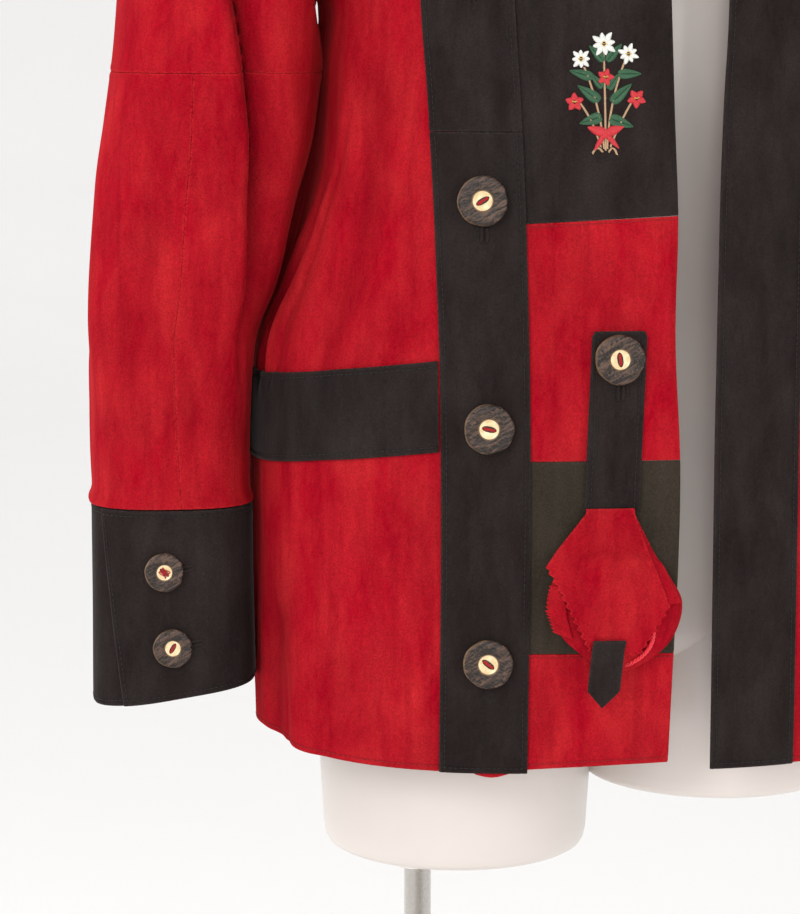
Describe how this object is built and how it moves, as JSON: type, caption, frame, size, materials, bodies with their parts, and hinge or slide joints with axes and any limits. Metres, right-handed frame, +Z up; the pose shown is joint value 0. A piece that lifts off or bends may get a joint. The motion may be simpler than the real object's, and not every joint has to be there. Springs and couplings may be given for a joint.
{
  "type": "suede jacket on a dress form",
  "caption": "Boxy suede jacket in colour blocks with a buttoned bib front, strap and little pouch, worn open on a limbless dress form with a pole stand.",
  "frame": {"origin": "on the floor under the middle of the dress form and of the whole part's outline", "axes": "+Z up, the wearer faces -Y, +X is the wearer's left"},
  "size_m": [0.6508, 0.38, 1.543],
  "materials": {
    "red_suede": "napped suede, deep red",
    "black_suede": "napped suede, soft black",
    "green_suede": "napped suede, dark olive green",
    "horn": "carved dark horn with a pale sunk middle",
    "form_shell": "smooth satin shell, off white",
    "steel": "brushed steel tube and plate"
  },
  "bodies": {
    "root": {"right_front": "red_suede", "left_front": "red_suede", "back": "red_suede", "plastron_hem_block": "red_suede", "plastron_red_block": "red_suede", "pouch_bag": "red_suede", "pouch_flap": "red_suede", "right_sleeve_top": "red_suede", "right_sleeve_under": "red_suede", "right_sleeve_outer": "red_suede", "left_sleeve_top": "red_suede", "left_sleeve_under": "red_suede", "left_sleeve_outer": "red_suede", "right_band_lower": "black_suede", "right_band_upper": "black_suede", "left_band": "black_suede", "neck_band": "black_suede", "plastron_black_block": "black_suede", "pocket_band": "black_suede", "strap": "black_suede", "pouch_tab": "black_suede", "right_cuff": "black_suede", "left_cuff": "black_suede", "plastron_green_block": "green_suede", "band_button_1": "horn", "band_button_2": "horn", "band_button_3": "horn", "band_button_4": "horn", "strap_button": "horn", "right_cuff_button_upper": "horn", "right_cuff_button_lower": "horn", "left_cuff_button_upper": "horn", "left_cuff_button_lower": "horn", "dress_form": "form_shell", "stand_pole": "steel", "stand_foot": "steel"}
  },
  "joints": []
}
